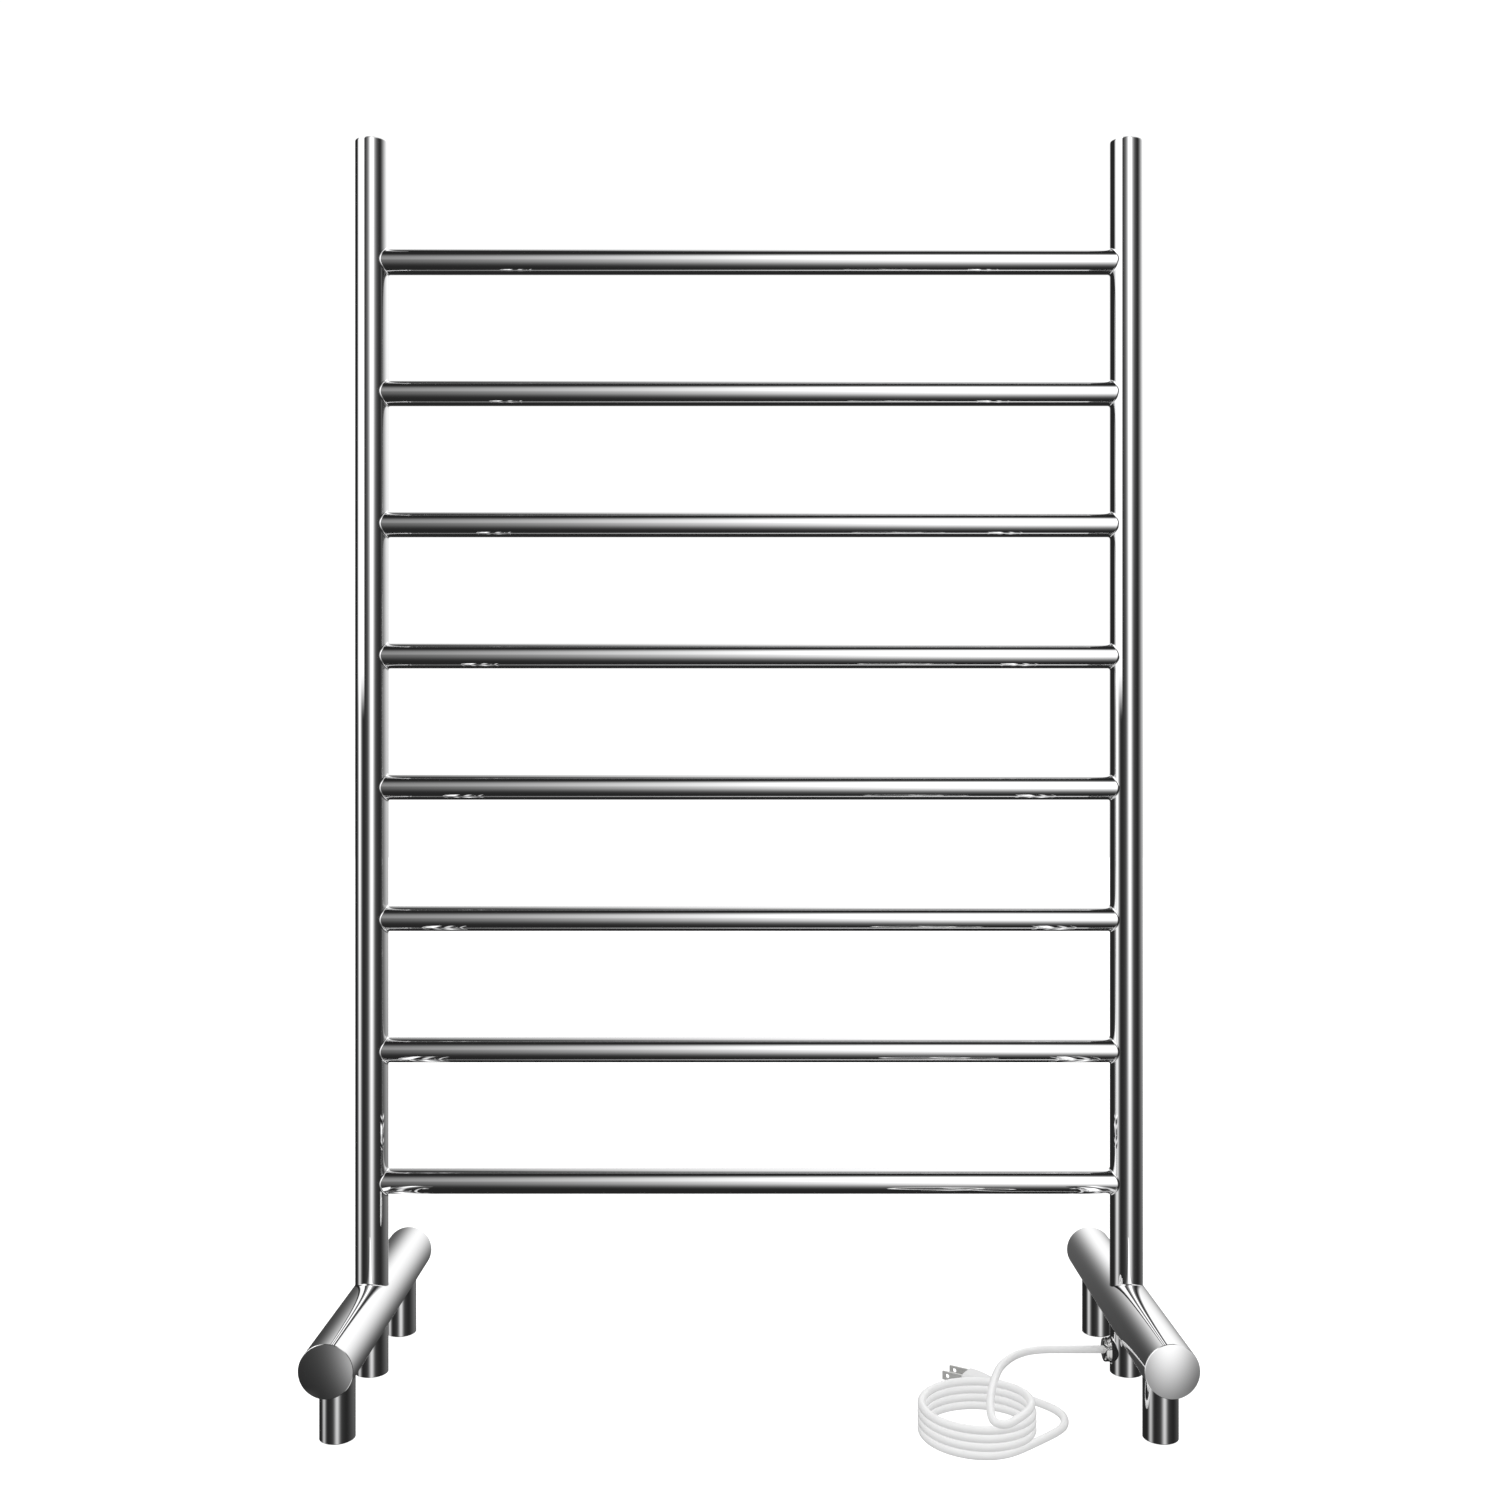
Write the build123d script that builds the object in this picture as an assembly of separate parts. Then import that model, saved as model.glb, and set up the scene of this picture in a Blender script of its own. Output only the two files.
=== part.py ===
"""Free-standing electric towel warmer: a ladder of heated bars on two base tubes, with its mains lead.

Units are millimetres. The origin is on the floor, midway between the two posts.
+X points to the post that holds the cable gland, +Z is up, and -Y is the front.
"""

import math
import os

from build123d import *

# ---- ladder ----
post_spacing = 580.0
post_diameter = 25.0
post_wall = 1.5
post_above_top_bar = 92.3
post_bottom_z = 6.8
post_cap_thickness = 1.5
bar_count = 8
bar_diameter = 19.0
bar_wall = 1.2
bar_pitch = 100.9
lowest_bar_z = 153.4

# ---- base ----
base_diameter = 38.0
base_wall = 1.5
base_length = 272.0
base_axis_z = 59.0
end_disc_thickness = 2.0
end_disc_crown = 1.2
edge_break = 0.4
foot_diameter = 25.0
foot_wall = 1.5
foot_spacing = 205.0

# ---- plugs, caps and pads ----
spigot_length = 6.0
pad_proud = 0.5
pad_rim = 0.7
pad_height = 9.0

# ---- cable gland ----
gland_z = 24.0
hex_across_flats = 17.0
spot_face_depth = 0.8
spot_face_radius = 10.5
washer_thickness = 0.7
washer_radius = 9.6
gland_flange = 2.3
gland_nut_length = 3.5
gland_nut_wall = 1.4
gland_neck_radius = 7.0
thread_radius = 7.6
bush_radius = 8.75
bush_length = 6.2
seal_radius = 5.2
seal_length = 8.6
nut_mouth_clearance = 0.4
hex_chamfer = 0.9
hex_chamfer_reach = 1.8
lead_end_past_seat = 4.7

# ---- mains lead ----
cord_diameter = 5.8
coil_radius = 38.8
coil_centre = (161.0, -99.0)
coil_pitch = 5.8
coil_start_z = 24.65
coil_turns = 3.867
coil_sectors_per_turn = 12
corner_share = 0.45

# Points of the lead after its level run from the gland: over the coil's rear rim, then round its front
# to its top turn.
lead_route = [
    (220.0, 0.0, 24.0),
    (203.0, -13.0, 25.0),
    (191.5, -33.0, 27.0),
    (183.5, -54.0, 30.0),
    (177.0, -75.0, 30.0),
    (171.8, -94.0, 28.8),
    (168.3, -112.0, 27.2),
    (167.0, -125.5, 26.2),
    (167.4, -134.8, 25.2),
    (171.4, -138.7, 24.7),
    (177.2, -138.5, 24.8),
    (186.3, -129.2, 25.4),
    (192.8, -120.4, 25.3),
    (197.7, -109.9, 25.0),
    (199.8, -99.0, 24.65),
]

# Points of the lead from the coil's bottom turn, round its loop and up into the plug's strain relief.
tail_route = [
    (187.0, -127.8, 2.9),
    (203.5, -112.9, 2.9),
    (216.4, -100.8, 2.9),
    (224.2, -91.0, 2.9),
    (227.4, -79.4, 2.9),
    (226.6, -69.6, 3.2),
    (222.0, -62.2, 4.2),
    (213.8, -58.2, 6.2),
    (203.2, -55.8, 9.2),
    (196.4, -51.6, 10.0),
]

# ---- plug ----
plug_heading = 148.0
plug_length = 24.0
plug_width = 19.0
plug_height = 20.0
plug_corner = 3.0
relief_length = 16.0
relief_root_radius = 5.4
relief_tip_radius = 3.7
relief_end = tail_route[-1]
blade_spacing = 12.7
blade_width = 6.35
blade_thickness = 1.5
blade_length = 16.0
blade_root = 8.0
blade_hole_radius = 1.6
blade_hole_from_tip = 4.0
blade_z = 15.2
earth_pin_drop = 11.9
earth_pin_radius = 2.4
earth_pin_length = 19.0

# ---- heating cable and wiring ----
heating_cable_diameter = 4.0
heating_cable_bend = 10.0
heating_cable_below_lowest_bar = 43.0
heating_cable_above_top_bar = 35.0
end_seal_radius = 3.5
end_seal_length = 20.0
end_seal_lap = 10.0
core_radius = 1.0
core_angles = {"line": 210, "neutral": 330, "earth": 90}
core_circle_radius = 1.25
core_rise = 3.0
core_bend = 3.0
earth_core_bend = 2.0
earth_core_lead_out = 1.5
earth_core_lift = 1.5
limiter_radius = 3.0
limiter_z = 48.0
limiter_length = 18.0
splice_radius = 6.0
splice_length = 30.0
earth_z = 46.0
stud_radius = 2.0
stud_reach = 6.5
lug_radius = 4.0
lug_thickness = 1.0
lug_barrel_radius = 1.5
lug_barrel_length = 9.0
lug_tongue_width = 2.6
stud_past_nut = 0.6
lug_barrel_gap = 0.2
earth_nut_across_flats = 7.0
earth_nut_thickness = 2.7

# ---- sizes worked out from the ones above ----
post_radius = post_diameter / 2
post_bore = post_radius - post_wall
bar_radius = bar_diameter / 2
bar_bore = bar_radius - bar_wall
base_radius = base_diameter / 2
base_bore = base_radius - base_wall
foot_radius = foot_diameter / 2
foot_bore = foot_radius - foot_wall
dome_radius = (base_radius**2 + end_disc_crown**2) / (2 * end_disc_crown)
cord_radius = cord_diameter / 2
post_x = post_spacing / 2
bar_heights = [lowest_bar_z + n * bar_pitch for n in range(bar_count)]
post_top_z = bar_heights[-1] + post_above_top_bar
seat_x = post_x - post_radius + spot_face_depth
flange_x = seat_x - washer_thickness
nut_x = flange_x - gland_flange
gland_face_x = nut_x - gland_nut_length
nut_inner_x = gland_face_x + gland_nut_wall
lead_end_x = seat_x + lead_end_past_seat

SIDES = {"left": -1, "right": 1}
ENDS = {"front": -1, "rear": 1}
nodes = {}


def rod(radius, start, end):
    """A solid cylinder from one point to another."""
    along = Vector(*end) - Vector(*start)
    turned = Plane(origin=start, z_dir=along)
    return turned * Cylinder(radius, along.length, align=(Align.CENTER, Align.CENTER, Align.MIN))


def pipe(outer, inner, start, end):
    """A hollow cylinder from one point to another."""
    return rod(outer, start, end) - rod(inner, start, end)


def hexagon(across_flats, start, end):
    """A six-sided prism from one point to another, with a corner straight up or along X."""
    along = Vector(*end) - Vector(*start)
    up = Vector(0, 0, 1) if abs(along.Z) < 0.5 * along.length else Vector(1, 0, 0)
    turned = Plane(origin=start, x_dir=up, z_dir=along)
    outline = RegularPolygon(across_flats / 2, 6, major_radius=False)
    return extrude(turned * outline, along.length)


def corner_radii(points):
    """The largest even arcs for a route: each takes the same share of its shorter run."""
    radii = []
    for before, corner, after in zip(points, points[1:], points[2:]):
        arriving = Vector(*corner) - Vector(*before)
        leaving = Vector(*after) - Vector(*corner)
        turn = math.radians(arriving.get_angle(leaving))
        radii.append(corner_share * min(arriving.length, leaving.length) / math.tan(turn / 2))
    return radii


def cable(points, radius, radii):
    """A round cable of straight runs joined by tangent arcs."""
    path = FilletPolyline(*points, radius=radii)
    section = Plane(origin=path @ 0, z_dir=path % 0) * Circle(radius)
    body = sweep(section, path=path)
    return body, path.length


def report_cable(name, body, length, radius, radii):
    """Print a cable's arcs, and its volume against its section times its length."""
    ideal = math.pi * radius**2 * length
    print(f"{name}: length {length:.1f}, volume ratio {body.volume / ideal:.4f}")
    print(f"  arc radii {[round(r, 1) for r in radii]}")


# ---- posts ----
def post_hole(side, z):
    """The hole in a post's inner wall that lets the heating cable into a bar."""
    return rod(bar_bore, (side * post_x, 0, z), (side * (post_x - post_diameter), 0, z))


def post(side):
    """An upright tube, open to each bar on its inner side."""
    x = side * post_x
    tube = pipe(post_radius, post_bore, (x, 0, post_bottom_z), (x, 0, post_top_z - post_cap_thickness))
    for z in bar_heights:
        tube -= post_hole(side, z)
    return tube


def gland_cutter():
    """The round hole for the welded bush, and the shallow flat round it."""
    hole = rod(bush_radius, (seat_x, 0, gland_z), (post_x, 0, gland_z))
    spot_face = rod(spot_face_radius, (seat_x - post_radius, 0, gland_z), (seat_x, 0, gland_z))
    return hole + spot_face


for name, side in SIDES.items():
    x = side * post_x
    plain = post(side)
    nodes[f"{name}_post"] = plain - gland_cutter() if side > 0 else plain
    plate = rod(post_radius, (x, 0, post_top_z - post_cap_thickness), (x, 0, post_top_z))
    plate = chamfer(plate.edges().group_by(Axis.Z)[-1], edge_break)
    spigot_low = post_top_z - post_cap_thickness - spigot_length
    spigot = pipe(post_bore, post_bore - post_wall, (x, 0, spigot_low),
                  (x, 0, post_top_z - post_cap_thickness))
    nodes[f"{name}_post_cap"] = plate + spigot
    floor_of_plug = rod(post_bore, (x, 0, post_bottom_z), (x, 0, post_bottom_z + post_wall))
    wall_of_plug = pipe(post_bore, post_bore - post_wall, (x, 0, post_bottom_z + post_wall),
                        (x, 0, post_bottom_z + spigot_length))
    nodes[f"{name}_post_plug"] = floor_of_plug + wall_of_plug

# ---- bars ----
for number, z in enumerate(bar_heights, start=1):
    bar = pipe(bar_radius, bar_bore, (-post_x, 0, z), (post_x, 0, z))
    for side in SIDES.values():
        bar -= rod(post_radius, (side * post_x, 0, z - post_diameter), (side * post_x, 0, z + post_diameter))
    nodes[f"towel_bar_{number}"] = bar


# ---- base tubes, end discs, feet and pads ----
def foot_y(end):
    return end * foot_spacing / 2


for name, side in SIDES.items():
    x = side * post_x
    tube_half = base_length / 2 - end_disc_thickness
    tube = pipe(base_radius, base_bore, (x, -tube_half, base_axis_z), (x, tube_half, base_axis_z))
    tube -= rod(post_radius, (x, 0, 0), (x, 0, base_axis_z + base_diameter))
    nodes[f"{name}_base_tube"] = tube
    for end_name, end in ENDS.items():
        disc = rod(base_radius, (x, end * tube_half, base_axis_z), (x, end * base_length / 2, base_axis_z))
        dome_centre = (x, end * (base_length / 2 - dome_radius), base_axis_z)
        nodes[f"{name}_{end_name}_end_disc"] = disc & Pos(*dome_centre) * Sphere(dome_radius)
        y = foot_y(end)
        foot = pipe(foot_radius, foot_bore, (x, y, pad_proud), (x, y, base_axis_z))
        foot -= rod(base_radius, (x, y - foot_diameter, base_axis_z), (x, y + foot_diameter, base_axis_z))
        nodes[f"{name}_{end_name}_foot"] = foot
        sole = rod(foot_radius - pad_rim, (x, y, 0), (x, y, pad_proud))
        insert = rod(foot_bore, (x, y, pad_proud), (x, y, pad_height))
        nodes[f"{name}_{end_name}_foot_pad"] = sole + insert


# ---- cable gland ----
def on_gland(x):
    return (x, 0, gland_z)


bush = pipe(bush_radius, thread_radius, on_gland(seat_x), on_gland(seat_x + bush_length))
nodes["gland_bush"] = bush

ring = pipe(washer_radius, thread_radius, on_gland(flange_x), on_gland(post_x))
solid_post = rod(post_radius, (post_x, 0, 0), (post_x, 0, gland_z + post_diameter)) - gland_cutter()
nodes["gland_seal_ring"] = ring - solid_post - rod(bush_radius, on_gland(seat_x), on_gland(post_x))

thread = rod(thread_radius, on_gland(flange_x), on_gland(seat_x + bush_length))
flange = hexagon(hex_across_flats, on_gland(flange_x), on_gland(nut_x))
neck = rod(gland_neck_radius, on_gland(nut_x), on_gland(nut_inner_x))
seal_end_x = nut_inner_x + seal_length
bore = rod(seal_radius, on_gland(nut_inner_x), on_gland(seat_x + bush_length))
nodes["gland_body"] = thread + flange + neck - bore

nut = hexagon(hex_across_flats, on_gland(nut_x), on_gland(gland_face_x))
across_corners = hex_across_flats / math.cos(math.pi / 6)
dome = rod(across_corners / 2, on_gland(nut_x), on_gland(gland_face_x))
dome = chamfer(dome.edges().group_by(Axis.X)[0], hex_chamfer, hex_chamfer_reach)
nut = nut & dome
nut -= rod(gland_neck_radius, on_gland(nut_inner_x), on_gland(nut_x))
nut -= rod(cord_radius + nut_mouth_clearance, on_gland(gland_face_x), on_gland(nut_inner_x))
nodes["gland_nut"] = nut
nodes["gland_seal"] = pipe(seal_radius, cord_radius, on_gland(nut_inner_x), on_gland(seal_end_x))

# ---- mains lead ----
lead_route.insert(0, on_gland(lead_end_x))
lead_radii = corner_radii(lead_route)
lead, lead_length = cable(lead_route, cord_radius, lead_radii)
report_cable("cord_lead", lead, lead_length, cord_radius, lead_radii)
nodes["cord_lead"] = lead

tail_radii = corner_radii(tail_route)
tail, tail_length = cable(tail_route, cord_radius, tail_radii)
report_cable("cord_tail", tail, tail_length, cord_radius, tail_radii)
nodes["cord_tail"] = tail


def coil_sector(number):
    """One slice of the coil's outer shape, as high as the top turn is there."""
    step = 360.0 / coil_sectors_per_turn
    height = coil_start_z + cord_radius - coil_pitch * (number + 0.5) / coil_sectors_per_turn
    outer = Cylinder(coil_radius + cord_radius, height, arc_size=step,
                     align=(Align.NONE, Align.NONE, Align.MIN))
    inner = Cylinder(coil_radius - cord_radius, height, arc_size=step,
                     align=(Align.NONE, Align.NONE, Align.MIN))
    return Pos(*coil_centre, 0) * Rot(0, 0, number * step) * (outer - inner)


coil = coil_sector(0)
for number in range(1, coil_sectors_per_turn):
    coil += coil_sector(number)
nodes["cord_coil"] = coil
coil_length = coil_turns * 2 * math.pi * coil_radius
print(f"lead in all: {lead_length + coil_length + tail_length:.0f} mm")

# ---- plug ----
heading = math.radians(plug_heading)
plug_axis = Vector(math.cos(heading), math.sin(heading), 0)
plug_side = Vector(-math.sin(heading), math.cos(heading), 0)
plug_face = Vector(*relief_end) + plug_axis * (plug_length + relief_length)


def in_plug(along, across, z):
    """A point from its distance out of the plug's face, its distance to the side and its height."""
    spot = plug_face + plug_axis * along + plug_side * across
    return (spot.X, spot.Y, z)


def plug_block(length_from, length_to, width, z_low, z_high, across=0.0):
    """A box in the plug's own directions."""
    middle = in_plug((length_from + length_to) / 2, across, (z_low + z_high) / 2)
    turned = Plane(origin=middle, x_dir=plug_axis, z_dir=(0, 0, 1))
    return turned * Box(length_to - length_from, width, z_high - z_low)


body = plug_block(-plug_length, 0, plug_width, 0, plug_height)
body = chamfer(body.edges().filter_by(Axis(in_plug(0, 0, 0), tuple(plug_axis))), plug_corner)
blades = {}
for name, place in {"neutral": 1, "line": -1}.items():
    across = place * blade_spacing / 2
    low = blade_z - blade_width / 2
    blade = plug_block(-blade_root, blade_length, blade_thickness, low, low + blade_width, across)
    hole_at = blade_length - blade_hole_from_tip
    hole_start = in_plug(hole_at, across - blade_thickness, blade_z)
    hole_end = in_plug(hole_at, across + blade_thickness, blade_z)
    blades[f"plug_{name}_blade"] = blade - rod(blade_hole_radius, hole_start, hole_end)
pin_z = blade_z - earth_pin_drop
pin = rod(earth_pin_radius, in_plug(-blade_root, 0, pin_z), in_plug(earth_pin_length, 0, pin_z))
for piece in [*blades.values(), pin]:
    body -= piece
nodes["plug_body"] = body
nodes.update(blades)
nodes["plug_earth_pin"] = pin
relief_z = relief_end[2]
relief_plane = Plane(origin=in_plug(-plug_length, 0, relief_z), z_dir=-plug_axis)
nodes["plug_strain_relief"] = relief_plane * Cone(
    relief_root_radius, relief_tip_radius, relief_length, align=(Align.CENTER, Align.CENTER, Align.MIN))

# ---- heating cable: up the right post, to and fro through the bars, and up to its end seal ----
cable_radius = heating_cable_diameter / 2
heating_cable_start_z = lowest_bar_z - heating_cable_below_lowest_bar
heating_cable_end_z = bar_heights[-1] + heating_cable_above_top_bar
side = 1
cable_route = [(post_x, 0, heating_cable_start_z)]
for z in bar_heights:
    cable_route.append((side * post_x, 0, z))
    side = -side
    cable_route.append((side * post_x, 0, z))
cable_route.append((side * post_x, 0, heating_cable_end_z))
heating, heating_length = cable(cable_route, cable_radius, heating_cable_bend)
report_cable("heating_cable", heating, heating_length, cable_radius, [heating_cable_bend])
nodes["heating_cable"] = heating
cable_end_x = side * post_x
cap_low = heating_cable_end_z - end_seal_lap
cap = rod(end_seal_radius, (cable_end_x, 0, cap_low), (cable_end_x, 0, cap_low + end_seal_length))
cable_tip = rod(cable_radius, (cable_end_x, 0, cap_low), (cable_end_x, 0, heating_cable_end_z))
nodes["cable_end_seal"] = cap - cable_tip
splice_low = heating_cable_start_z - splice_length
nodes["splice_sleeve"] = rod(splice_radius, (post_x, 0, splice_low), (post_x, 0, heating_cable_start_z))


# ---- cores from the lead's end inside the gland, and the thermal limiter on the line core ----
def core_start(angle):
    """Where a core leaves the end of the lead."""
    turn = math.radians(angle)
    y = core_circle_radius * math.cos(turn)
    z = gland_z + core_circle_radius * math.sin(turn)
    return (lead_end_x, y, z)


def core(start, turn_x, top_z):
    """An insulated core that leaves the lead level and turns up the post."""
    points = [start, (turn_x, start[1], start[2]), (turn_x, start[1], top_z)]
    return cable(points, core_radius, core_bend)[0]


line_start = core_start(core_angles["line"])
neutral_start = core_start(core_angles["neutral"])
earth_start = core_start(core_angles["earth"])
line_x = post_x - core_rise
nodes["line_core"] = core(line_start, line_x, limiter_z)
limiter_top = limiter_z + limiter_length
nodes["thermal_limiter"] = rod(limiter_radius, (line_x, line_start[1], limiter_z),
                               (line_x, line_start[1], limiter_top))
nodes["limiter_lead"] = rod(core_radius, (line_x, line_start[1], limiter_top),
                            (line_x, line_start[1], splice_low))
nodes["neutral_core"] = core(neutral_start, post_x + core_rise, splice_low)

# ---- earth connection on the post's inner wall ----
stud_tip_y = post_bore - stud_reach
lug_back_y = stud_tip_y + earth_nut_thickness + lug_thickness + stud_past_nut
lug_front_y = lug_back_y - lug_thickness
stud = rod(stud_radius, (post_x, stud_tip_y, earth_z), (post_x, post_radius, earth_z))
nodes["earth_stud"] = stud & rod(post_bore, (post_x, 0, 0), (post_x, 0, 2 * earth_z))
ring_plate = pipe(lug_radius, stud_radius, (post_x, lug_front_y, earth_z), (post_x, lug_back_y, earth_z))
lug_y = (lug_front_y + lug_back_y) / 2
barrel_top = earth_z - lug_radius - lug_barrel_gap
barrel = rod(lug_barrel_radius, (post_x, lug_y, barrel_top - lug_barrel_length), (post_x, lug_y, barrel_top))
tongue = Pos(post_x, lug_y, earth_z - lug_radius) * Box(lug_tongue_width, lug_thickness, lug_radius)
tongue -= rod(stud_radius, (post_x, stud_tip_y, earth_z), (post_x, post_bore, earth_z))
nodes["earth_ring_terminal"] = ring_plate + tongue + barrel
earth_nut = hexagon(earth_nut_across_flats, (post_x, lug_front_y, earth_z),
                    (post_x, lug_front_y - earth_nut_thickness, earth_z))
nodes["earth_nut"] = earth_nut - rod(stud_radius, (post_x, 0, earth_z), (post_x, post_bore, earth_z))
earth_points = [
    earth_start,
    (earth_start[0] + earth_core_lead_out, earth_start[1], earth_start[2]),
    (post_x, lug_y, earth_start[2] + earth_core_lift),
    (post_x, lug_y, barrel_top - lug_barrel_length),
]
nodes["earth_core"] = cable(earth_points, core_radius, earth_core_bend)[0]

# ---- write the pieces ----
os.makedirs("parts", exist_ok=True)
for name, shape in nodes.items():
    export_step(shape, f"parts/{name}.step")
print(f"{len(nodes)} nodes")
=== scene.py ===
"""Free-standing electric towel warmer: polished tube ladder on two base tubes, with a white mains lead.

Everything is in metres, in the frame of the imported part: +Z up, -Y the front.
"""

import math

import bpy
from mathutils import Matrix, Vector


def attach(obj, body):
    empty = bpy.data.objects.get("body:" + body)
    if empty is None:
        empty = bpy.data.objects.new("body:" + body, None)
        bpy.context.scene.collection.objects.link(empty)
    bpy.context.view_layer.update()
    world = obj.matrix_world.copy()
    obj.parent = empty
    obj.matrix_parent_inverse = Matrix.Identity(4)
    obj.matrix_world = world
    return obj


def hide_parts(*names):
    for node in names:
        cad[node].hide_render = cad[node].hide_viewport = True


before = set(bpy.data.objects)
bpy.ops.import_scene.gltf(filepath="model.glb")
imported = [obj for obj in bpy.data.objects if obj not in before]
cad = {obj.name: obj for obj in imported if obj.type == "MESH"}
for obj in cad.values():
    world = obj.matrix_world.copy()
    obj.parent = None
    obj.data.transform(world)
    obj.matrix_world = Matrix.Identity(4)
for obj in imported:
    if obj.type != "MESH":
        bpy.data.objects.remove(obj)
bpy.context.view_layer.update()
MM = 0.001
SIDES = {"left": -1, "right": 1}
ENDS = {"front": -1, "rear": 1}


# ---- base tubes ----
# Two floor tubes of chromed steel, 38 mm across, laid front to back.
# Each is sawn from drawn tube, buffed to a mirror, and closed by a welded end disc.
def linear(shade):
    """An sRGB hex colour as the linear colour that a shader reads."""
    parts = [int(shade[i:i + 2], 16) / 255 for i in (1, 3, 5)]
    return tuple(p / 12.92 if p <= 0.04045 else ((p + 0.055) / 1.055) ** 2.4 for p in parts) + (1.0,)


def node(tree, kind, settings=(), inputs=()):
    """Add a shader node, set its properties, and set or link its inputs."""
    made = tree.nodes.new("ShaderNode" + kind)
    for name, value in dict(settings).items():
        setattr(made, name, value)
    for name, value in dict(inputs).items():
        if isinstance(value, bpy.types.NodeSocket):
            tree.links.new(value, made.inputs[name])
        else:
            made.inputs[name].default_value = value
    return made


def finish_material(name, light, dark, metallic, roughness, wander, patch_mm, grain_mm, grain_depth_mm):
    """A material whose colour and gloss drift a little in patches, over a fine surface grain."""
    material = bpy.data.materials.new(name)
    material.use_nodes = True
    tree = material.node_tree
    tree.nodes.clear()
    place = node(tree, "TexCoord").outputs["Object"]
    patches = node(tree, "TexNoise", inputs={"Vector": place, "Scale": 1000 / patch_mm, "Detail": 3.0})
    grain = node(tree, "TexNoise", inputs={"Vector": place, "Scale": 1000 / grain_mm, "Detail": 2.0})
    colour = node(tree, "Mix", {"data_type": "RGBA"},
                  {0: patches.outputs["Fac"], 6: linear(light), 7: linear(dark)})
    gloss = node(tree, "MapRange", inputs={
        "Value": patches.outputs["Fac"], "From Min": 0.3, "From Max": 0.7,
        "To Min": roughness - wander, "To Max": roughness + wander})
    bump = node(tree, "Bump", inputs={"Height": grain.outputs["Fac"], "Distance": grain_depth_mm * MM})
    shader = node(tree, "BsdfPrincipled", inputs={
        "Base Color": colour.outputs[2], "Metallic": metallic,
        "Roughness": gloss.outputs["Result"], "Normal": bump.outputs["Normal"]})
    node(tree, "OutputMaterial", inputs={"Surface": shader.outputs["BSDF"]})
    return material


def turned(name, profile, place, around="Z", steps=128):
    """A round piece: its closed section, (radius, height) in millimetres, spun about its own axis."""
    bpy.ops.object.select_all(action="DESELECT")
    bpy.ops.mesh.primitive_circle_add(vertices=len(profile), radius=1, fill_type="NOTHING")
    piece = bpy.context.object
    piece.name = piece.data.name = name
    for vertex, (radius, height) in zip(piece.data.vertices, profile):
        vertex.co = (radius * MM, 0, height * MM)
    bpy.ops.object.mode_set(mode="EDIT")
    bpy.ops.mesh.select_all(action="SELECT")
    bpy.ops.mesh.spin(steps=steps, angle=2 * math.pi, center=(0, 0, 0), axis=(0, 0, 1))
    bpy.ops.mesh.select_all(action="SELECT")
    bpy.ops.mesh.remove_doubles(threshold=0.00002)
    bpy.ops.mesh.dissolve_degenerate(threshold=0.000001)
    bpy.ops.mesh.select_all(action="SELECT")
    bpy.ops.mesh.normals_make_consistent(inside=False)
    bpy.ops.object.mode_set(mode="OBJECT")
    turn = {"Z": Matrix(), "X": Matrix.Rotation(math.pi / 2, 4, "Y"),
            "Y": Matrix.Rotation(-math.pi / 2, 4, "X")}
    piece.data.transform(Matrix.Translation(Vector(place) * MM) @ turn[around])
    bpy.ops.object.shade_smooth_by_angle(angle=math.radians(25))
    return piece


def ring_section(outer, inner, low, high, edge):
    """The section of a tube's wall, with its outer rims eased by `edge`."""
    return [(inner, low), (outer - edge, low), (outer, low + edge),
            (outer, high - edge), (outer - edge, high), (inner, high)]


def dress(piece, material, slot, *nodes):
    """Give a piece its material, put it in place of its CAD nodes and fix it to the rack; `slot` is not used.
    """
    piece.data.materials.clear()
    piece.data.materials.append(material)
    if nodes:
        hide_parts(*nodes)
    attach(piece, "root")
    return piece


# Chromium plate over buffed steel: a near mirror, with a trace of waviness from the buffing wheel.
chrome = finish_material("chromium plated steel", "#f7f7f7", "#f2f2f3", 1.0, 0.016, 0.006, 60, 9, 0.0008)

post_x = 290.0
base_radius = 19.0
base_wall = 1.5
base_edge = 0.1
base_z = 59.0
base_half = 134.0
for name, side in SIDES.items():
    section = ring_section(base_radius, base_radius - base_wall, -base_half, base_half, base_edge)
    tube = turned(f"{name}_floor_tube", section, (side * post_x, 0, base_z), around="Y")
    dress(tube, chrome, "polished_steel", f"{name}_base_tube")

# ---- end discs ----
# Pressed steel discs, slightly domed, welded over the ends of the base tubes.
# The weld is ground flush, so that only a fine eased rim shows.
disc_crown = 1.2
disc_thickness = 2.0
disc_rim = 0.3
disc_steps = 12
crown_radius = (base_radius**2 + disc_crown**2) / (2 * disc_crown)
disc_profile = [(0, 0), (base_radius, 0), (base_radius, disc_thickness - disc_crown - disc_rim)]
for step in range(disc_steps + 1):
    radius = (base_radius - disc_rim) * (1 - step / disc_steps)
    disc_profile.append((radius, disc_thickness - crown_radius + math.sqrt(crown_radius**2 - radius**2)))
for name, side in SIDES.items():
    for end_name, end in ENDS.items():
        section = [(radius, end * height) for radius, height in disc_profile]
        disc = turned(f"{name}_{end_name}_domed_disc", section, (side * post_x, end * base_half, base_z),
                      around="Y")
        dress(disc, chrome, "polished_steel", f"{name}_{end_name}_end_disc")

# ---- feet and pads ----
# Four short legs of 25 mm tube, saddle-cut and welded under the base tubes.
# Each stands on a black rubber plug pushed up into it.
foot_radius = 12.5
foot_wall = 1.5
foot_edge = 0.25
foot_y = 102.5
foot_top = 44.9
pad_proud = 0.5
pad_section = [(0, 0), (11.4, 0), (11.8, 0.3), (11.8, pad_proud), (11, pad_proud), (11, 8.6), (10.6, 9), (0, 9)]
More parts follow.
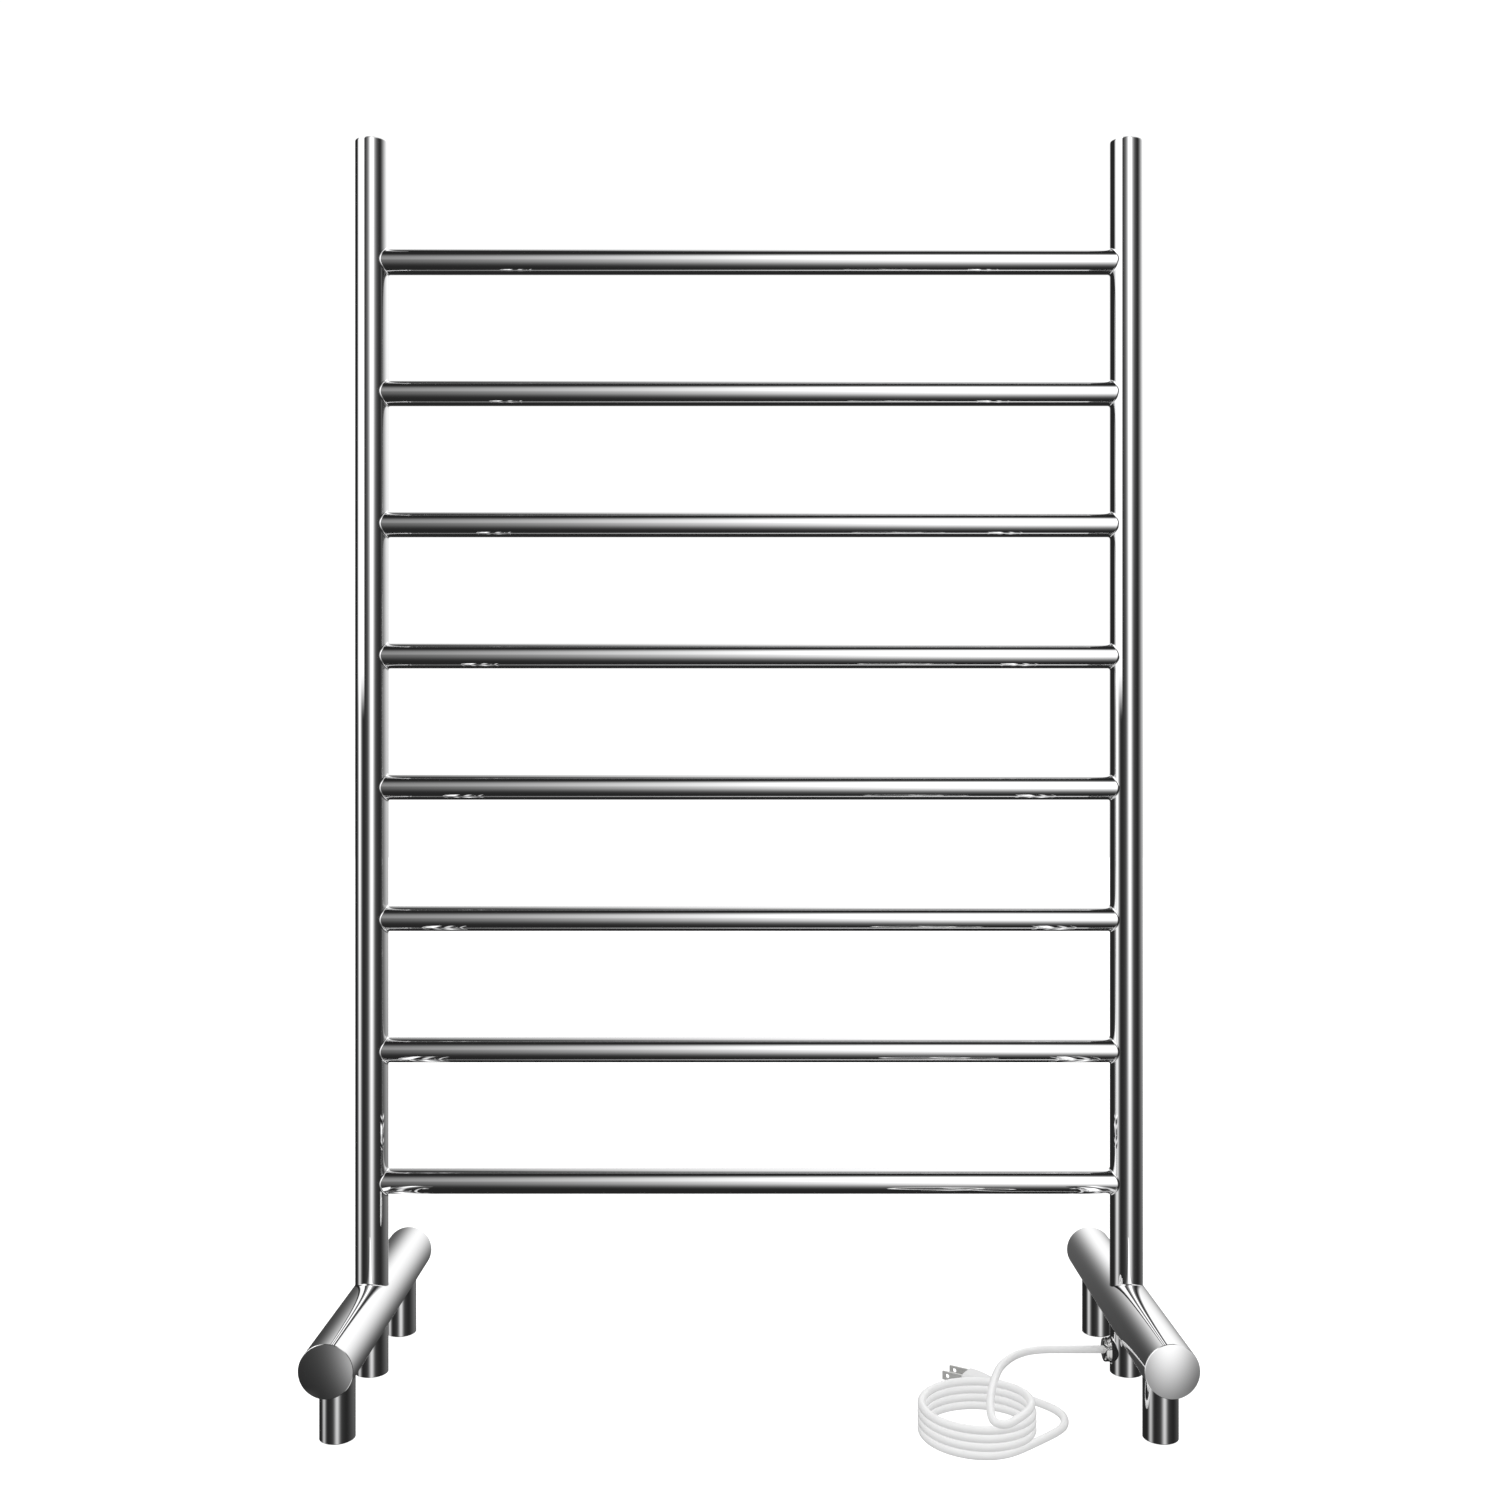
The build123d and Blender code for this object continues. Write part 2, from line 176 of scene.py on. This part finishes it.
# Moulded rubber: dull and nearly black, with the fine tooth of the mould.
rubber = finish_material("moulded black rubber", "#1c1c1c", "#242424", 0.0, 0.62, 0.06, 6, 0.6, 0.02)
for name, side in SIDES.items():
    for end_name, end in ENDS.items():
        place = (side * post_x, end * foot_y, 0)
        section = ring_section(foot_radius, foot_radius - foot_wall, pad_proud, foot_top, foot_edge)
        leg = turned(f"{name}_{end_name}_leg", section, place)
        dress(leg, chrome, "polished_steel", f"{name}_{end_name}_foot")
        pad = turned(f"{name}_{end_name}_rubber_pad", pad_section, place, steps=64)
        dress(pad, rubber, "black_rubber", f"{name}_{end_name}_foot_pad")

# ---- posts ----
# Two uprights of 25 mm tube. They pass through the base tubes and end just above the floor.
# The top is closed by a welded disc, ground flush, and the bottom by a pressed-in plug.
post_radius = 12.5
post_bore = 11.0
post_edge = 0.25
post_low = 6.8
post_top = 952.0
top_disc = 1.5
top_disc_edge = 0.4
gland_z = 24.0
# The gland seats on a milled flat. The tube has extra edges above and below it, to keep its shading even.
seat_x = 278.3
seat_radius = 10.5
seat_depth = 8.0
seat_margin = 11.0
for name, side in SIDES.items():
    section = [(post_bore, post_low), (post_radius - post_edge, post_low), (post_radius, post_low + post_edge),
               (post_radius, gland_z - seat_margin), (post_radius, gland_z + seat_margin),
               (post_radius, post_top - top_disc), (post_bore, post_top - top_disc)]
    upright = turned(f"{name}_upright", section, (side * post_x, 0, 0))
    if side > 0:
        bpy.ops.object.select_all(action="DESELECT")
        bpy.ops.mesh.primitive_cylinder_add(
            vertices=96, radius=seat_radius * MM, depth=seat_depth * MM, rotation=(0, math.pi / 2, 0),
            location=((seat_x - seat_depth / 2) * MM, 0, gland_z * MM))
        cutter = bpy.context.object
        cut = upright.modifiers.new("gland seat", "BOOLEAN")
        cut.object = cutter
        cut.operation = "DIFFERENCE"
        cut.solver = "EXACT"
        bpy.context.view_layer.objects.active = upright
        bpy.ops.object.modifier_apply(modifier=cut.name)
        bpy.data.objects.remove(cutter)
        bpy.ops.object.select_all(action="DESELECT")
        upright.select_set(True)
        bpy.ops.object.shade_smooth_by_angle(angle=math.radians(25))
    dress(upright, chrome, "polished_steel", f"{name}_post")
    cap_section = [(0, -6), (9.5, -6), (post_bore, -6), (post_bore, 0),
                   (post_radius, 0), (post_radius, top_disc - top_disc_edge),
                   (post_radius - 0.12, top_disc - 0.12), (post_radius - top_disc_edge, top_disc),
                   (0, top_disc)]
    cap = turned(f"{name}_top_disc", cap_section, (side * post_x, 0, post_top - top_disc))
    dress(cap, chrome, "polished_steel", f"{name}_post_cap")

# ---- towel bars ----
# Eight heated bars of 19 mm tube between the uprights, about 101 mm apart.
# Each end is saddle-cut, let into the upright and welded, and the small bead is buffed to a fillet.
bar_count = 8
bar_radius = 9.5
bar_wall = 1.2
bar_edge = 0.05
bar_pitch = 100.9
lowest_bar = 153.4
bar_end = post_x - 8.3


def weld_bead(name, rod_radius, drum_radius, leg, place, turns=96, rows=6):
    """A buffed fillet where a rod stands on a drum. `place` takes across, along and out from its axis.

    `pinch` is how far the bead narrows at the rod's sides, and `tuck` how deep its back lies in the metal.
    """
    pinch = 0.55
    tuck = 0.4
    bpy.ops.object.select_all(action="DESELECT")
    bpy.ops.mesh.primitive_grid_add(x_subdivisions=turns, y_subdivisions=rows + 1, size=1)
    bead = bpy.context.object
    bead.name = bead.data.name = name
    for index, vertex in enumerate(bead.data.vertices):
        turn = 2 * math.pi * (index % (turns + 1)) / turns
        row = index // (turns + 1)
        across, along = math.sin(turn), math.cos(turn)
        reach = leg * (1 - pinch * across**2)
        root = (rod_radius * across, rod_radius * along, math.sqrt(drum_radius**2 - (rod_radius * across)**2))
        wide = (rod_radius + reach) * across
        foot = (wide, (rod_radius + reach) * along, math.sqrt(drum_radius**2 - wide**2))
        head = (root[0], root[1], root[2] + reach)
        if row > rows:
            inner = rod_radius - tuck
            spot = (inner * across, inner * along, root[2] - tuck)
        else:
            share = row / rows
            spot = [(1 - share)**2 * h + 2 * share * (1 - share) * r + share**2 * f
                    for h, r, f in zip(head, root, foot)]
        vertex.co = Vector(place(*spot)) * MM
    bpy.ops.object.mode_set(mode="EDIT")
    bpy.ops.mesh.select_all(action="SELECT")
    bpy.ops.mesh.remove_doubles(threshold=0.000005)
    bpy.ops.mesh.select_all(action="DESELECT")
    bpy.ops.mesh.select_non_manifold()
    bpy.ops.mesh.bridge_edge_loops()
    bpy.ops.mesh.select_all(action="SELECT")
    bpy.ops.mesh.normals_make_consistent(inside=False)
    bpy.ops.object.mode_set(mode="OBJECT")
    bpy.ops.object.shade_smooth_by_angle(angle=math.radians(40))
    return bead


bead_leg = 1.8
for number in range(1, bar_count + 1):
    z = lowest_bar + (number - 1) * bar_pitch
    section = ring_section(bar_radius, bar_radius - bar_wall, -bar_end, bar_end, bar_edge)
    bar = turned(f"heated_bar_{number}", section, (0, 0, z), around="X")
    dress(bar, chrome, "polished_steel", f"towel_bar_{number}")
    for name, side in SIDES.items():
        bead = weld_bead(f"bar_{number}_{name}_weld", bar_radius, post_radius, bead_leg,
                         lambda across, along, out: (side * (post_x - out), across, z + along))
        dress(bead, chrome, "polished_steel")

# ---- welds of the base ----
# The same buffed beads run round the uprights above and below the base tubes, and round the legs.
base_leg = 0.9
for name, side in SIDES.items():
    for level, way in {"upper": 1, "lower": -1}.items():
        bead = weld_bead(f"{name}_upright_{level}_weld", post_radius, base_radius, base_leg,
                         lambda across, along, out: (side * post_x + across, along, base_z + way * out))
        dress(bead, chrome, "polished_steel")
    for end_name, end in ENDS.items():
        bead = weld_bead(
            f"{name}_{end_name}_leg_weld", foot_radius, base_radius, base_leg,
            lambda across, along, out: (side * post_x + across, end * foot_y + along, base_z - out))
        dress(bead, chrome, "polished_steel")

# ---- plugs, gland and inner wiring ----
# The lead enters the right upright through a nickel-plated gland: a bush welded in the tube, a sealing ring,
# a threaded body and a hexagon nut. Inside are the splice, the thermal limiter, the earth stud and the cable.
# Nickel plate over turned brass: bright, a little softer in its reflections than the chromium.
nickel = finish_material("nickel plated brass", "#f1f1f0", "#e9e8e6", 1.0, 0.04, 0.02, 8, 1.5, 0.002)
# Turned and drawn metals inside, left as they came: grey and satin rather than mirror bright.
steel = finish_material("plain bright steel", "#b9bbbd", "#a9abad", 1.0, 0.3, 0.05, 8, 0.8, 0.004)
tin = finish_material("tinned copper", "#c9c6bf", "#b8b5ac", 1.0, 0.25, 0.05, 5, 0.5, 0.004)
# Moulded and extruded insulation inside: even colours with a low sheen.
nylon = finish_material("black nylon", "#17181a", "#1f2022", 0.0, 0.4, 0.06, 6, 0.5, 0.01)
silicone = finish_material("red silicone rubber", "#8e2f24", "#7f281f", 0.0, 0.45, 0.05, 5, 0.4, 0.01)
sleeve = finish_material("black shrink sleeve", "#1b1b1d", "#232325", 0.0, 0.5, 0.06, 5, 0.6, 0.02)
black_core = finish_material("black core insulation", "#1a1a1a", "#222222", 0.0, 0.42, 0.05, 4, 0.4, 0.005)
white_core = finish_material("white core insulation", "#e8e8e4", "#dededa", 0.0, 0.42, 0.05, 4, 0.4, 0.005)
green_core = finish_material("green core insulation", "#2f7a3d", "#2a6e37", 0.0, 0.42, 0.05, 4, 0.4, 0.005)
limiter_case = finish_material("drawn aluminium case", "#c4c6c8", "#b4b6b8", 1.0, 0.35, 0.05, 4, 0.4, 0.004)
kept_nodes = {
    "gland_bush": steel, "earth_stud": steel, "earth_nut": steel,
    "gland_seal_ring": rubber, "gland_seal": rubber, "left_post_plug": nylon, "right_post_plug": nylon,
    "heating_cable": silicone, "cable_end_seal": sleeve, "splice_sleeve": sleeve,
    "thermal_limiter": limiter_case,
    "line_core": black_core, "limiter_lead": black_core, "neutral_core": white_core, "earth_core": green_core,
    "earth_ring_terminal": tin,
}
for name, material in kept_nodes.items():
    cad[name].data.materials.clear()
    cad[name].data.materials.append(material)

# The gland's body and nut are turned from hexagon bar, 17 mm across flats, with tumbled, rounded corners.
gland_parts = {
    "gland_body": [(3.5, 7.0), (3.5, 9.4), (3.9, 9.8), (5.4, 9.8), (5.8, 9.4), (5.8, 7.6), (12.7, 7.6),
                   (12.7, 5.2), (2.0, 5.2), (2.0, 7.0)],
    "gland_nut": [(0.0, 3.35), (0.0, 7.3), (0.35, 8.3), (1.0, 9.2), (1.9, 9.75), (3.1, 9.8), (3.45, 9.5),
                  (3.45, 7.1), (1.4, 7.1), (1.4, 3.35)],
}
gland_face = 271.8
half_across_flats = 8.5
corner_radius = 9.75
hexagon_starts = 8
roundness = 30
for name, section in gland_parts.items():
    piece = turned(f"{name}_rounded", [(radius, along) for along, radius in section], (gland_face, 0, gland_z),
                   around="X", steps=144)
    for vertex in piece.data.vertices:
        across, up = vertex.co.y, vertex.co.z - gland_z * MM
        radius = math.hypot(across, up) / MM
        if radius > hexagon_starts:
            from_corner = (math.degrees(math.atan2(across, up)) + 30) % 60 - 30
            flat = half_across_flats / math.cos(math.radians(30 - abs(from_corner)))
            limit = (flat**-roundness + corner_radius**-roundness) ** (-1 / roundness)
            pull = (radius**-roundness + limit**-roundness) ** (-1 / roundness) / radius
            vertex.co.y, vertex.co.z = across * pull, gland_z * MM + up * pull
    bpy.ops.object.shade_smooth_by_angle(angle=math.radians(30))
    dress(piece, nickel, "nickel_brass", name)

# ---- mains lead ----
# Round PVC flex, 5.8 mm across. It leaves the gland level, climbs over the coil's rear rim, turns back
# on the coil's front and winds down in four turns, then loops out on the floor to the plug.
cord_diameter = 5.8
coil_centre = (161.0, -99.0)
coil_radius = 38.8
coil_start_z = 24.65
coil_pitch = 5.8
coil_turns = 3.867
points_per_turn = 16
# The spline runs inside its points, so the coil's points lie this much further out than the cord.
spline_share = 0.981
lead_points = [
    (283, 0, 24), (246, 0, 24), (220, 0, 24), (203, -13, 25), (191.5, -33, 27), (183.5, -54, 30),
    (177, -75, 30), (171.8, -94, 28.8), (168.3, -112, 27.2), (167, -125.5, 26.2), (167.4, -134.8, 25.2),
    (171.4, -138.7, 24.7), (177.2, -138.5, 24.8), (186.3, -129.2, 25.4), (192.8, -120.4, 25.3),
    (197.7, -109.9, 25), (199.8, -99, 24.65),
]
tail_points = [
    (187, -127.8, 2.9), (203.5, -112.9, 2.9), (216.4, -100.8, 2.9), (224.2, -91, 2.9), (227.4, -79.4, 2.9),
    (226.6, -69.6, 3.2), (222, -62.2, 4.2), (213.8, -58.2, 6.2), (203.2, -55.8, 9.2), (196.4, -51.6, 10),
]
winding_radius = coil_radius / spline_share
coil_points = []
for step in range(1, math.ceil(coil_turns * points_per_turn)):
    turns = step / points_per_turn
    angle = 2 * math.pi * turns
    coil_points.append((coil_centre[0] + winding_radius * math.cos(angle),
                        coil_centre[1] + winding_radius * math.sin(angle),
                        max(cord_diameter / 2, coil_start_z - coil_pitch * turns)))
route = lead_points + coil_points + tail_points
line = bpy.data.curves.new("mains_lead", "CURVE")
line.dimensions = "3D"
line.bevel_depth = cord_diameter / 2 * MM
line.bevel_resolution = 8
line.resolution_u = 10
spline = line.splines.new("NURBS")
spline.points.add(len(route) - 1)
for point, spot in zip(spline.points, route):
    point.co = (*(Vector(spot) * MM), 1.0)
spline.order_u = 3
spline.use_endpoint_u = True
mains_lead = bpy.data.objects.new("mains_lead", line)
bpy.context.scene.collection.objects.link(mains_lead)
# Extruded white PVC: a satin skin, faintly uneven from the die.
cord_pvc = finish_material("extruded white pvc", "#ececec", "#e8e8e8", 0.0, 0.38, 0.05, 14, 1.2, 0.012)
dress(mains_lead, cord_pvc, "white_cord", "cord_lead", "cord_coil", "cord_tail")
mains_lead.visible_shadow = mains_lead.visible_diffuse = False

# ---- plug ----
# A moulded-on plug of white PVC, narrowing to a ribbed strain relief, with two flat blades and an earth pin.
plug_heading = math.radians(148)
relief_tip = Vector((196.4, -51.6, 10))
relief_length = 16.0
plug_length = 24.0
plug_root_size = 12.0
plug_face_width = 19
plug_face_height = 20
squareness = 5
waist_depth = 0.07
plug_turn = Matrix.Rotation(plug_heading, 4, "Z")
plug_root = relief_tip + plug_turn @ Vector((relief_length, 0, 0))
# Moulded PVC, duller than the lead's skin. Its colour is set a shade greyer than the lead's as painted shade,
# so that the plug's body reads darker.
plug_pvc_with_painted_shade = finish_material("moulded white pvc with painted shade", "#dedede", "#d9d9d9", 0.0, 0.45, 0.06, 9, 0.7, 0.02)
bpy.ops.object.select_all(action="DESELECT")
bpy.ops.mesh.primitive_cube_add(size=1)
plug = bpy.context.object
plug.name = plug.data.name = "moulded_plug"
bpy.ops.object.mode_set(mode="EDIT")
bpy.ops.mesh.select_all(action="SELECT")
bpy.ops.mesh.subdivide(number_cuts=7)
bpy.ops.object.mode_set(mode="OBJECT")
for vertex in plug.data.vertices:
    along = vertex.co.x + 0.5
    swell = 1 - (1 - along)**2
    width = plug_root_size + (plug_face_width - plug_root_size) * swell
    height = plug_root_size + (plug_face_height - plug_root_size) * swell
    across, up = vertex.co.y * 2, vertex.co.z * 2
    squeeze = 1 / max(1.0, (abs(across)**squareness + abs(up)**squareness)**(1 / squareness))
    waist = 1 - waist_depth * math.exp(-((along - 0.45) / 0.16)**2)
    vertex.co = (along * plug_length, across * squeeze * width / 2 * waist, up * squeeze * height / 2)
plug.data.transform(Matrix.Translation(plug_root * MM) @ plug_turn @ Matrix.Scale(MM, 4))
rounding = plug.modifiers.new("rounding", "SUBSURF")
rounding.levels = rounding.render_levels = 2
bpy.context.view_layer.objects.active = plug
bpy.ops.object.modifier_apply(modifier=rounding.name)
bpy.ops.object.shade_smooth_by_angle(angle=math.radians(40))
dress(plug, plug_pvc_with_painted_shade, "white_plug", "plug_body")

relief_wide = 5.4
relief_narrow = 3.7
relief_profile = [(0, 0), (relief_wide, 0)]
ribs = 5
groove = 0.7
for rib in range(ribs):
    low = 1.5 + rib * (relief_length - 2.5) / ribs
    width = relief_wide - (relief_wide - relief_narrow) * low / relief_length
    relief_profile += [(width, low), (width - groove, low + 0.3), (width - groove, low + 1.0),
                       (width - 0.15, low + 1.3)]
relief_profile += [(3.75, relief_length - 0.6), (3.4, relief_length), (0, relief_length)]
relief = turned("ribbed_strain_relief", relief_profile, (0, 0, 0), around="X", steps=48)
relief.data.transform(Matrix.Translation(plug_root * MM) @ plug_turn @ Matrix.Rotation(math.pi, 4, "Z"))
dress(relief, plug_pvc_with_painted_shade, "white_plug", "plug_strain_relief")

# Plated brass, stamped: pale and satin, without the mirror of the chromium.
plated = finish_material("plated brass", "#cfcfcd", "#c2c2bf", 0.4, 0.35, 0.05, 5, 0.8, 0.003)
for name in ("plug_line_blade", "plug_neutral_blade", "plug_earth_pin"):
    cad[name].data.materials.clear()
    cad[name].data.materials.append(plated)

# ---- studio ----
# A white cove and floor. The polished tube mirrors large soft boxes: one in front, a little to the right,
# one at the left that ends at the horizon, and the lit wall behind, with black between them and overhead.
world = bpy.data.worlds.new("studio")
bpy.context.scene.world = world
world.use_nodes = True
tree = world.node_tree
tree.nodes.clear()


def maths(operation, *values):
    """A Math node of the studio's light."""
    return node(tree, "Math", {"operation": operation}, dict(enumerate(values))).outputs[0]


def rise(value, low, high):
    """0 below low, 1 above high, and smooth between."""
    return node(tree, "MapRange", {"interpolation_type": "SMOOTHSTEP"}, {
        "Value": value, "From Min": low, "From Max": high}).outputs["Result"]


def window(value, start, full, fade, end):
    """1 between full and fade, 0 outside start and end."""
    return maths("SUBTRACT", rise(value, start, full), rise(value, fade, end))


def lobe(value, centre, spread):
    """A bell about the centre."""
    offset = maths("DIVIDE", maths("SUBTRACT", value, centre), spread)
    return maths("EXPONENT", maths("MULTIPLY", maths("POWER", maths("ABSOLUTE", offset), 2.0), -0.5))


direction = node(tree, "SeparateXYZ", inputs={0: node(tree, "TexCoord").outputs["Generated"]})
east, north, up = direction.outputs
elevation = maths("MULTIPLY", maths("ARCSINE", up), 180 / math.pi)
# Bearing in degrees, 0 at the front and growing to the right, cut in the black gap behind the left side.
bearing = maths("MULTIPLY", maths("ARCTAN2", east, maths("MULTIPLY", north, -1.0)), 180 / math.pi)
bearing = maths("SUBTRACT", maths("FLOORED_MODULO", maths("ADD", bearing, 140.0), 360.0), 140.0)

front_height = maths("MULTIPLY", lobe(maths("MINIMUM", elevation, 5.0), 5.0, 23.0),
                     maths("SUBTRACT", 1.0, rise(elevation, 34.0, 68.0)))
front_bearing = 12.0
front_box = maths("ADD", maths("MULTIPLY", lobe(bearing, front_bearing, 10.3), 1.22),
                  maths("MULTIPLY", lobe(bearing, front_bearing, 23.0), 0.1))
front_top = maths("MULTIPLY", maths("MULTIPLY", lobe(bearing, front_bearing, 18.0), 0.45),
                  rise(elevation, 0.0, 20.0))
front = maths("MULTIPLY", maths("ADD", front_box, front_top), front_height)
left_box = maths("MULTIPLY", window(bearing, -107.0, -86.0, -41.5, -40.0),
                 window(elevation, 1.0, 3.0, 40.0, 60.0))
left_low = maths("MULTIPLY", maths("MULTIPLY", lobe(bearing, -79.5, 9.5), 1.25),
                 window(elevation, -45.0, 6.0, 1.0, 3.0))
wall = maths("MULTIPLY", maths("MULTIPLY", window(bearing, 70.0, 150.0, 166.0, 212.0), 1.2),
             window(elevation, -32.0, 28.0, 46.0, 94.0))
# High and low at both sides the cove and floor are white too, clear of what the front of the tubes mirrors.
cove = maths("MULTIPLY", rise(maths("ABSOLUTE", east), 0.27, 0.5),
             maths("MULTIPLY", rise(maths("ABSOLUTE", elevation), 28.0, 48.0), 0.85))
lights = maths("ADD", maths("ADD", maths("ADD", cove, front), maths("MULTIPLY", left_box, 1.2)),
               maths("ADD", left_low, wall))
mirrored = maths("ADD", lights, 0.02)
soft = maths("ADD", rise(elevation, 0.0, 80.0), 0.7)
rays = node(tree, "LightPath")
seen = node(tree, "Mix", {"data_type": "FLOAT"},
            {0: rays.outputs["Is Glossy Ray"], 2: soft, 3: mirrored}).outputs[0]
seen = node(tree, "Mix", {"data_type": "FLOAT"},
            {0: rays.outputs["Is Camera Ray"], 2: seen, 3: 1.05}).outputs[0]
light = node(tree, "Background", inputs={"Color": (1, 1, 1, 1), "Strength": seen})
node(tree, "OutputWorld", inputs={"Surface": light.outputs[0]})

bpy.ops.object.select_all(action="DESELECT")
bpy.ops.mesh.primitive_plane_add(size=12, location=(0, 0, -0.0004))
floor = bpy.context.object
floor.name = "studio_floor"
floor.visible_glossy = floor.visible_diffuse = floor.visible_shadow = False
floor_paint = bpy.data.materials.new("white cove paint")
floor_paint.use_nodes = True
paint = floor_paint.node_tree.nodes["Principled BSDF"]
paint.inputs["Base Color"].default_value = linear("#a0a0a0")
paint.inputs["Roughness"].default_value = 0.9
paint.inputs["Emission Color"].default_value = linear("#ffffff")
paint.inputs["Emission Strength"].default_value = 0.97
floor.data.materials.append(floor_paint)

camera_data = bpy.data.cameras.new("camera")
camera_data.lens = 38.4
camera_data.sensor_width = 36
camera = bpy.data.objects.new("camera", camera_data)
camera.location = (0.0007, -1.2301, 0.4848)
camera.rotation_euler = (math.pi / 2, 0, 0)
bpy.context.scene.collection.objects.link(camera)
bpy.context.scene.camera = camera
bpy.context.scene.view_settings.view_transform = "Standard"
